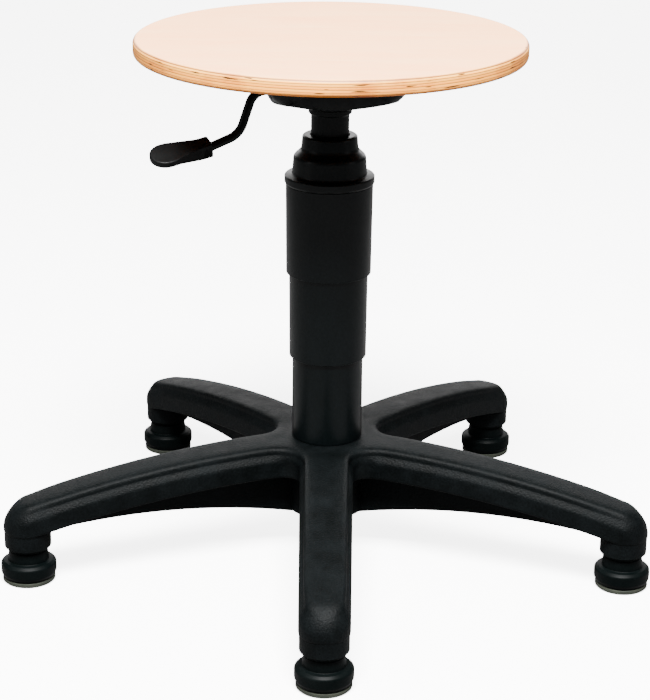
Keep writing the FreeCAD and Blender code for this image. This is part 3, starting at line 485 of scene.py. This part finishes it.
dress("stand_tube", coated_steel)
dress("guide_bush", acetal)
dress("bearing_lower_race", bearing_steel)
dress("bearing_upper_race", bearing_steel)
dress("bearing_balls", bearing_steel)
dress("bearing_cage", turned_brass)
dress("rubber_buffer", nitrile)
dress("rod_clip", spring_wire)
dress("rod_washer", zinc_steel)

# Telescopic cover. Three thin sleeves slide in each other and hide the gas spring: polypropylene,
# moulded against polished steel, near black with a soft satin sheen. Each has a small rounded rim
# at its foot, and a slightly thicker ring where it overlaps the next.
sleeve_plastic = moulded_skin("polypropylene_moulded_satin", "#010303", "#040708", 0.34, 3.0, 0.03,
                              gloss=0.12, cloud_mm=60.0)
sleeve_sections = (
    ("sleeve_lower", "base", (
        (32.7, 110.9, 0.6), (32.7, 202.0, 0), (33.1, 204.0, 0), (33.1, 206.0, 0.2), (30.7, 206.0, 0.2),
        (30.7, 112.9, 0), (25.3, 112.9, 0), (25.3, 110.9, 0),
    )),
    ("sleeve_middle", "middle", (
        (35.65, 190.9, 0.6), (36.3, 282.0, 0), (36.7, 284.0, 0), (36.7, 286.0, 0.2), (34.3, 286.0, 0.2),
        (33.65, 194.9, 0), (33.25, 192.9, 0), (33.25, 190.9, 0.2),
    )),
    ("sleeve_upper", "cover", (
        (38.95, 271.3, 0.6), (39.7, 355.3, 0.5), (37.7, 355.3, 0.2), (36.95, 275.3, 0), (36.55, 273.3, 0),
        (36.55, 271.3, 0.2),
    )),
)
for name, body, section in sleeve_sections:
    piece = finish_piece(turn_profile(section, steps=128), name + "_cover", sleeve_plastic, body)
    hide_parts(name)

# Sleeve cap. It closes the upper sleeve, and the seat's socket turns in its hole: two rounded steps
# down to a lip over the sleeve's rim, moulded in the same plastic and pushed in on a short spigot.
cap = finish_piece(turn_profile((
    (17.95, 400.4, 0.5),
    (24.8, 400.4, 2.4),
    (25.9, 387.4, 5.0),
    (32.8, 381.0, 4.4),
    (34.0, 364.4, 2.0),
    (40.9, 363.2, 1.3),
    (40.9, 357.2, 0.8),
    (39.9, 355.6, 0.3),
    (37.35, 355.6, 0),
    (37.35, 349.6, 0.3),
    (34.95, 349.6, 0.3),
    (34.95, 358.7, 0),
    (32.2, 362.6, 0),
    (29.35, 377.0, 1.0),
    (23.45, 384.0, 1.0),
    (22.4, 398.0, 0),
    (17.95, 398.0, 0.5),
), steps=128), "sleeve_cap_cover", sleeve_plastic, "cover")
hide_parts("sleeve_cap")

# Gas spring. A drawn steel cylinder, coated black, whose tapered head wedges into the seat's socket.
# Inside are the valve and a turned piston, on a rod that is ground bright.
gas_cylinder = finish_piece(turn_profile((
    (12.5, 180.0, 0),
    (14.0, 180.0, 0.8),
    (14.0, 396.0, 0),
    (13.3, 430.0, 0.6),
    (12.5, 430.0, 0),
), steps=80), "gas_cylinder_tube", coated_steel, "seat")
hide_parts("gas_cylinder")
dress("valve_body", cast_aluminium)
dress("valve_button", turned_brass)
dress("rod_guide", acetal)
dress("piston", cast_aluminium)
dress("piston_seal", nitrile)
dress("piston_rod", bearing_steel)
dress("cover_ring", acetal)

# Seat plate and socket. The plate is pressed from steel sheet, a square flange round a pan with a
# coned floor and four lugs, and the socket for the gas spring's taper is welded into the floor.


def smooth_copy(node, name, finish, body, crisp=30.0):
    """A merged copy of a node of the fixed frame, shaded smooth, that stands for it."""
    bm = bmesh.new()
    bm.from_mesh(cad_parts[node].data)
    bmesh.ops.remove_doubles(bm, verts=bm.verts, dist=2e-6)
    piece = finish_piece(bm, name, finish, body, crisp=crisp)
    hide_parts(node)


smooth_copy("seat_plate", "seat_plate_pressing", coated_steel, "seat")
socket = finish_piece(turn_profile((
    (14.1, 394.5, 0.4),
    (17.25, 394.5, 0.8),
    (17.25, 419.5, 0.6),
    (18.2, 419.5, 0.3),
    (19.5, 420.8, 0.4),
    (19.5, 425.0, 0.6),
    (17.25, 425.0, 0),
    (17.25, 432.0, 0.4),
    (13.4, 432.0, 0.3),
    (14.05, 396.5, 0),
), steps=96), "taper_socket_neck", coated_steel, "seat")
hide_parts("taper_socket")
dress("lever_bracket", zinc_steel)
dress("lever_pin", zinc_steel)
dress("seat_screws", zinc_steel)

# Lever. A bent steel rod, coated black, lifts to press the gas spring's button, and its end is
# pushed into a flat moulded grip with a round tip.

smooth_copy("lever_rod", "lever_rod_bent", coated_steel, "lever", crisp=40.0)
# Nylon with a fine leather-like grain: matt black, a little grey where light rakes it.
grip_nylon = moulded_skin("nylon_moulded_matt_grip", "#020202", "#070808", 0.5, 1.1, 0.35, gloss=0.1)
smooth_copy("lever_grip", "lever_grip_paddle", grip_nylon, "lever", crisp=40.0)

# Seat. A round of beech plywood, cut and sanded, with its rims rounded over and a clear lacquer on
# it. The plies show on the edge as bands of honey and brown between thin glue lines.

seat_bottom, seat_top, seat_radius = 473.2, 488.2, 175.0
bm = turn_profile((
    (0, seat_bottom, 0),
    (seat_radius, seat_bottom, 4.0),
    (seat_radius, seat_top, 4.0),
    (0, seat_top, 0),
), steps=256)
# Beech plywood, sanded and lacquered: warm and pale on the face, banded on the edge, softly glossy.
seat_ply = new_finish("beech_plywood_lacquered")
ply_place = add_node(seat_ply, "ShaderNodeTexCoord")
ply_axes = add_node(seat_ply, "ShaderNodeSeparateXYZ", {"Vector": ply_place.outputs["Object"]})
# The face veneer: pale, pinkish and even, with long faint figure along the grain.
veneer_stretch = add_node(seat_ply, "ShaderNodeMapping", {
    "Vector": ply_place.outputs["Object"], "Scale": (9.0, 60.0, 1.0),
    "Rotation": (0, 0, math.radians(12)),
})
veneer_figure = add_node(seat_ply, "ShaderNodeTexNoise", {
    "Vector": veneer_stretch.outputs["Vector"], "Scale": 1.0, "Detail": 6.0, "Roughness": 0.55,
    "Distortion": 0.6,
})
veneer_colour = add_node(seat_ply, "ShaderNodeValToRGB", {"Fac": veneer_figure.outputs["Fac"]})
veneer_colour.color_ramp.elements[0].position = 0.25
veneer_colour.color_ramp.elements[0].color = linear("#ffae72")
veneer_colour.color_ramp.elements[1].position = 0.75
veneer_colour.color_ramp.elements[1].color = linear("#ffc186")
# The edge: pale plies of long grain between tan ones of end grain, with thin brown glue lines that
# waver a little.
ply_wander = add_node(seat_ply, "ShaderNodeTexNoise", {
    "Vector": ply_place.outputs["Object"], "Scale": 14.0, "Detail": 3.0,
})
ply_shift = add_node(seat_ply, "ShaderNodeMath", {
    0: ply_wander.outputs["Fac"], 1: 0.0006,
}, operation="MULTIPLY")
ply_height = add_node(seat_ply, "ShaderNodeMath", {
    0: ply_axes.outputs["Z"], 1: ply_shift.outputs["Value"],
}, operation="ADD")
ply_level = add_node(seat_ply, "ShaderNodeMapRange", {
    "Value": ply_height.outputs["Value"], "From Min": seat_bottom / 1000,
    "From Max": seat_top / 1000, "To Min": 0.0, "To Max": 1.0,
})
ply_colour = add_node(seat_ply, "ShaderNodeValToRGB", {"Fac": ply_level.outputs["Result"]})
# Each band starts at a share of the seat's thickness, from its underside up.
ply_bands = (
    (0.00, "#8e4c10"), (0.08, "#ee8a20"), (0.13, "#5a2802"), (0.16, "#f09028"), (0.27, "#fba638"),
    (0.30, "#7a3a06"), (0.33, "#f59a2e"), (0.44, "#fcac40"), (0.47, "#522303"), (0.50, "#ee8c22"),
    (0.60, "#fba83a"), (0.63, "#743405"), (0.66, "#f8a032"), (0.75, "#fdb44c"), (0.78, "#5a2802"),
    (0.81, "#f59a2e"), (0.88, "#fcb856"), (0.92, "#6a3408"), (0.96, "#b87836"), (1.00, "#f5c088"),
)
ramp = ply_colour.color_ramp
ramp.elements[0].position = ply_bands[0][0]
ramp.elements[0].color = linear(ply_bands[0][1])
ramp.elements[1].position = ply_bands[-1][0]
ramp.elements[1].color = linear(ply_bands[-1][1])
for position, colour in ply_bands[1:-1]:
    element = ramp.elements.new(position)
    element.color = linear(colour)
ply_fibres = add_node(seat_ply, "ShaderNodeMapping", {
    "Vector": ply_place.outputs["Object"], "Scale": (60.0, 60.0, 1800.0),
})
ply_streaks = add_node(seat_ply, "ShaderNodeTexNoise", {
    "Vector": ply_fibres.outputs["Vector"], "Scale": 1.0, "Detail": 3.0,
})
ply_darker = add_node(seat_ply, "ShaderNodeMix", {
    "Factor": 0.35, "A": ply_colour.outputs["Color"], "B": ply_streaks.outputs["Color"],
}, data_type="RGBA", blend_type="SOFT_LIGHT")
# Brown patches where the saw scorched the end grain, and a few short gaps between the plies.
ply_scorch = add_node(seat_ply, "ShaderNodeTexNoise", {
    "Vector": ply_place.outputs["Object"], "Scale": 22.0, "Detail": 4.0, "Roughness": 0.6,
})
ply_scorched = add_node(seat_ply, "ShaderNodeMapRange", {
    "Value": ply_scorch.outputs["Fac"], "From Min": 0.46, "From Max": 0.62,
    "To Min": 0.0, "To Max": 0.45,
})
ply_browned = add_node(seat_ply, "ShaderNodeMix", {
    "Factor": ply_scorched.outputs["Result"], "A": ply_darker.outputs["Result"], "B": linear("#a8622a"),
}, data_type="RGBA", blend_type="MULTIPLY")
ply_gap_place = add_node(seat_ply, "ShaderNodeMapping", {
    "Vector": ply_place.outputs["Object"], "Scale": (55.0, 55.0, 620.0),
    "Location": (3.0, 7.0, 0.0),
})
ply_gap_noise = add_node(seat_ply, "ShaderNodeTexNoise", {
    "Vector": ply_gap_place.outputs["Vector"], "Scale": 1.0, "Detail": 0.0,
})
ply_gap = add_node(seat_ply, "ShaderNodeMapRange", {
    "Value": ply_gap_noise.outputs["Fac"], "From Min": 0.74, "From Max": 0.77,
})
ply_edge = add_node(seat_ply, "ShaderNodeMix", {
    "Factor": ply_gap.outputs["Result"], "A": ply_browned.outputs["Result"], "B": linear("#2c1a0c"),
}, data_type="RGBA")
# The face veneer lies on top only.
ply_is_face = add_node(seat_ply, "ShaderNodeMapRange", {
    "Value": ply_axes.outputs["Z"], "From Min": (seat_top - 0.6) / 1000,
    "From Max": (seat_top - 0.1) / 1000,
}, interpolation_type="SMOOTHSTEP")
ply_mix = add_node(seat_ply, "ShaderNodeMix", {
    "Factor": ply_is_face.outputs["Result"], "A": ply_edge.outputs["Result"],
    "B": veneer_colour.outputs["Color"],
}, data_type="RGBA")
ply_bump = add_node(seat_ply, "ShaderNodeBump", {
    "Height": veneer_figure.outputs["Fac"], "Strength": 0.08, "Distance": 0.0003,
})
ply_skin = add_node(seat_ply, "ShaderNodeBsdfPrincipled", {
    "Base Color": ply_mix.outputs["Result"],
    "Roughness": 0.42,
    "Specular IOR Level": 0.35,
    "Normal": ply_bump.outputs["Normal"],
})
add_node(seat_ply, "ShaderNodeOutputMaterial", {"Surface": ply_skin.outputs["BSDF"]})
seat = finish_piece(bm, "seat_round", seat_ply, "seat", crisp=50.0)
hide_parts("seat_disc")

# The studio: a plain pale floor that runs off to white, a soft box high in front, a wide one
# behind and two weak ones at the sides. Seen by the camera the floor is white; for everything else
# it is grey, so that the black parts keep their depth.

bm = bmesh.new()
bmesh.ops.create_grid(bm, x_segments=2, y_segments=2, size=30.0)
floor_mesh = bpy.data.meshes.new("studio_floor")
bm.to_mesh(floor_mesh)
bm.free()
floor = bpy.data.objects.new("studio_floor", floor_mesh)
bpy.context.scene.collection.objects.link(floor)
floor_paint = new_finish("floor_paint_matt_white")
paint_place = add_node(floor_paint, "ShaderNodeTexCoord")
paint_clouds = add_node(floor_paint, "ShaderNodeTexNoise", {
    "Vector": paint_place.outputs["Object"], "Scale": 3.0,
})
paint_seen = add_node(floor_paint, "ShaderNodeLightPath")
paint_colour = add_node(floor_paint, "ShaderNodeValToRGB", {"Fac": paint_clouds.outputs["Fac"]})
paint_colour.color_ramp.elements[0].color = linear("#fbfbfa")
paint_colour.color_ramp.elements[1].color = linear("#fdfdfc")
paint_grey = add_node(floor_paint, "ShaderNodeMix", {
    "Factor": paint_seen.outputs["Is Camera Ray"], "A": linear("#707070"),
    "B": paint_colour.outputs["Color"],
}, data_type="RGBA")
paint_glow = add_node(floor_paint, "ShaderNodeMath", {
    0: paint_seen.outputs["Is Camera Ray"], 1: 5.2,
}, operation="MULTIPLY")
paint_skin = add_node(floor_paint, "ShaderNodeBsdfPrincipled", {
    "Base Color": paint_grey.outputs["Result"],
    "Roughness": 0.9,
    "Specular IOR Level": 0.1,
    "Emission Color": linear("#ffffff"),
    "Emission Strength": paint_glow.outputs["Value"],
})
add_node(floor_paint, "ShaderNodeOutputMaterial", {"Surface": paint_skin.outputs["BSDF"]})
floor_mesh.materials.append(floor_paint)
floor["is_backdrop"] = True

world = bpy.data.worlds.new("studio")
bpy.context.scene.world = world
world.use_nodes = True
world.node_tree.nodes["Background"].inputs["Color"].default_value = linear("#ffffff")
world.node_tree.nodes["Background"].inputs["Strength"].default_value = 0.2


def soft_light(name, place, aim, size, power):
    """A square soft box at a place in metres, turned to its aim."""
    lamp = bpy.data.lights.new(name, "AREA")
    lamp.shape = "RECTANGLE"
    lamp.size, lamp.size_y = size
    lamp.energy = power
    light = bpy.data.objects.new(name, lamp)
    bpy.context.scene.collection.objects.link(light)
    light.location = place
    light.rotation_mode = "QUATERNION"
    light.rotation_quaternion = (Vector(aim) - Vector(place)).to_track_quat("-Z", "Y")


soft_light("soft_top", (0.0, -1.3, 2.6), (0, 0, 0.3), (1.5, 0.9), 590)
soft_light("soft_back", (0.0, 4.0, 1.1), (0, 0, 0.2), (5.0, 1.6), 95)
soft_light("soft_left", (-2.6, -0.9, 1.2), (0, 0, 0.2), (0.8, 1.8), 16)
soft_light("soft_right", (2.6, -0.7, 1.2), (0, 0, 0.2), (0.8, 1.8), 7)

# The camera stands in front and a little above, where the photograph's own camera was.
lens = bpy.data.cameras.new("view")
lens.lens = 109.19
lens.sensor_width = 36.0
lens.clip_start, lens.clip_end = 0.05, 100
camera = bpy.data.objects.new("view", lens)
bpy.context.scene.collection.objects.link(camera)
camera.matrix_world = (
    Matrix.Translation((0, -1.859185, 0.861995))
    @ Matrix.Rotation(math.radians(0.075), 4, "Z")
    @ Matrix.Rotation(math.radians(90 - 19.755), 4, "X")
    @ Matrix.Rotation(math.radians(0.609), 4, "Z")
)
bpy.context.scene.camera = camera

low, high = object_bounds()
